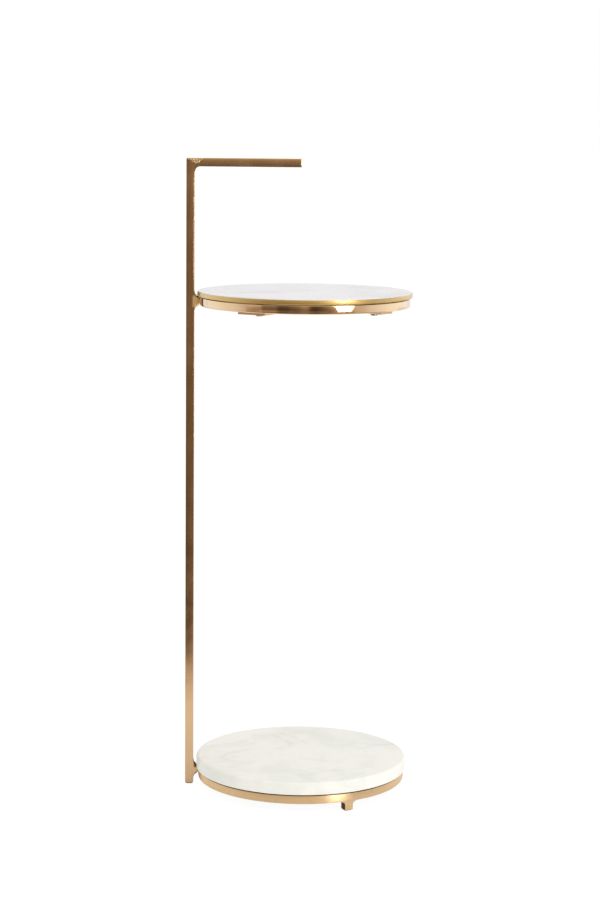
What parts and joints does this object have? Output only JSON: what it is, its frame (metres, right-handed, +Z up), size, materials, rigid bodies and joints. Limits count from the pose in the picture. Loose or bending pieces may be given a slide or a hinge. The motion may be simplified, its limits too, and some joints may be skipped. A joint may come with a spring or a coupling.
{
  "type": "wine table",
  "caption": "Slim wine table: a square brass-finished side post carries a round marble base slab and a small round marble-topped tray on metal rings, and bends into a carrying handle.",
  "frame": {"origin": "on the floor, under the middle of the overall footprint", "axes": "+Z up; the post stands at -X and the handle reaches towards +X; the pictured side faces -Y"},
  "size_m": [0.234, 0.2226, 0.66],
  "materials": {
    "frame_brass": "satin",
    "tray_brass": "satin",
    "top_marble": "polished",
    "base_marble": "satin",
    "turned_brass": "satin",
    "screw_steel": "satin",
    "cushion_rubber": "matte",
    "felt": "matte"
  },
  "bodies": {
    "root": {"base_cushion_front_left": "cushion_rubber", "base_cushion_front_right": "cushion_rubber", "base_cushion_rear_left": "cushion_rubber", "base_cushion_rear_right": "cushion_rubber", "base_insert_front_left": "turned_brass", "base_insert_front_right": "turned_brass", "base_insert_rear_left": "turned_brass", "base_insert_rear_right": "turned_brass", "base_ring": "frame_brass", "base_screw_front_left": "screw_steel", "base_screw_front_right": "screw_steel", "base_screw_rear_left": "screw_steel", "base_screw_rear_right": "screw_steel", "base_stone": "base_marble", "base_tab_front_left": "frame_brass", "base_tab_front_right": "frame_brass", "base_tab_rear_left": "frame_brass", "base_tab_rear_right": "frame_brass", "front_foot": "frame_brass", "front_glide": "felt", "handle_bar": "frame_brass", "lower_lug": "frame_brass", "post": "frame_brass", "post_glide": "felt", "rear_foot": "frame_brass", "rear_glide": "felt", "top_ring": "frame_brass", "top_stone": "top_marble", "top_tab_front_left": "frame_brass", "top_tab_front_right": "frame_brass", "top_tab_rear_left": "frame_brass", "top_tab_rear_right": "frame_brass", "top_tray": "tray_brass", "tray_screw_front_left": "screw_steel", "tray_screw_front_right": "screw_steel", "tray_screw_rear_left": "screw_steel", "tray_screw_rear_right": "screw_steel", "tray_standoff_front_left": "turned_brass", "tray_standoff_front_right": "turned_brass", "tray_standoff_rear_left": "turned_brass", "tray_standoff_rear_right": "turned_brass", "upper_lug": "frame_brass"}
  },
  "joints": []
}
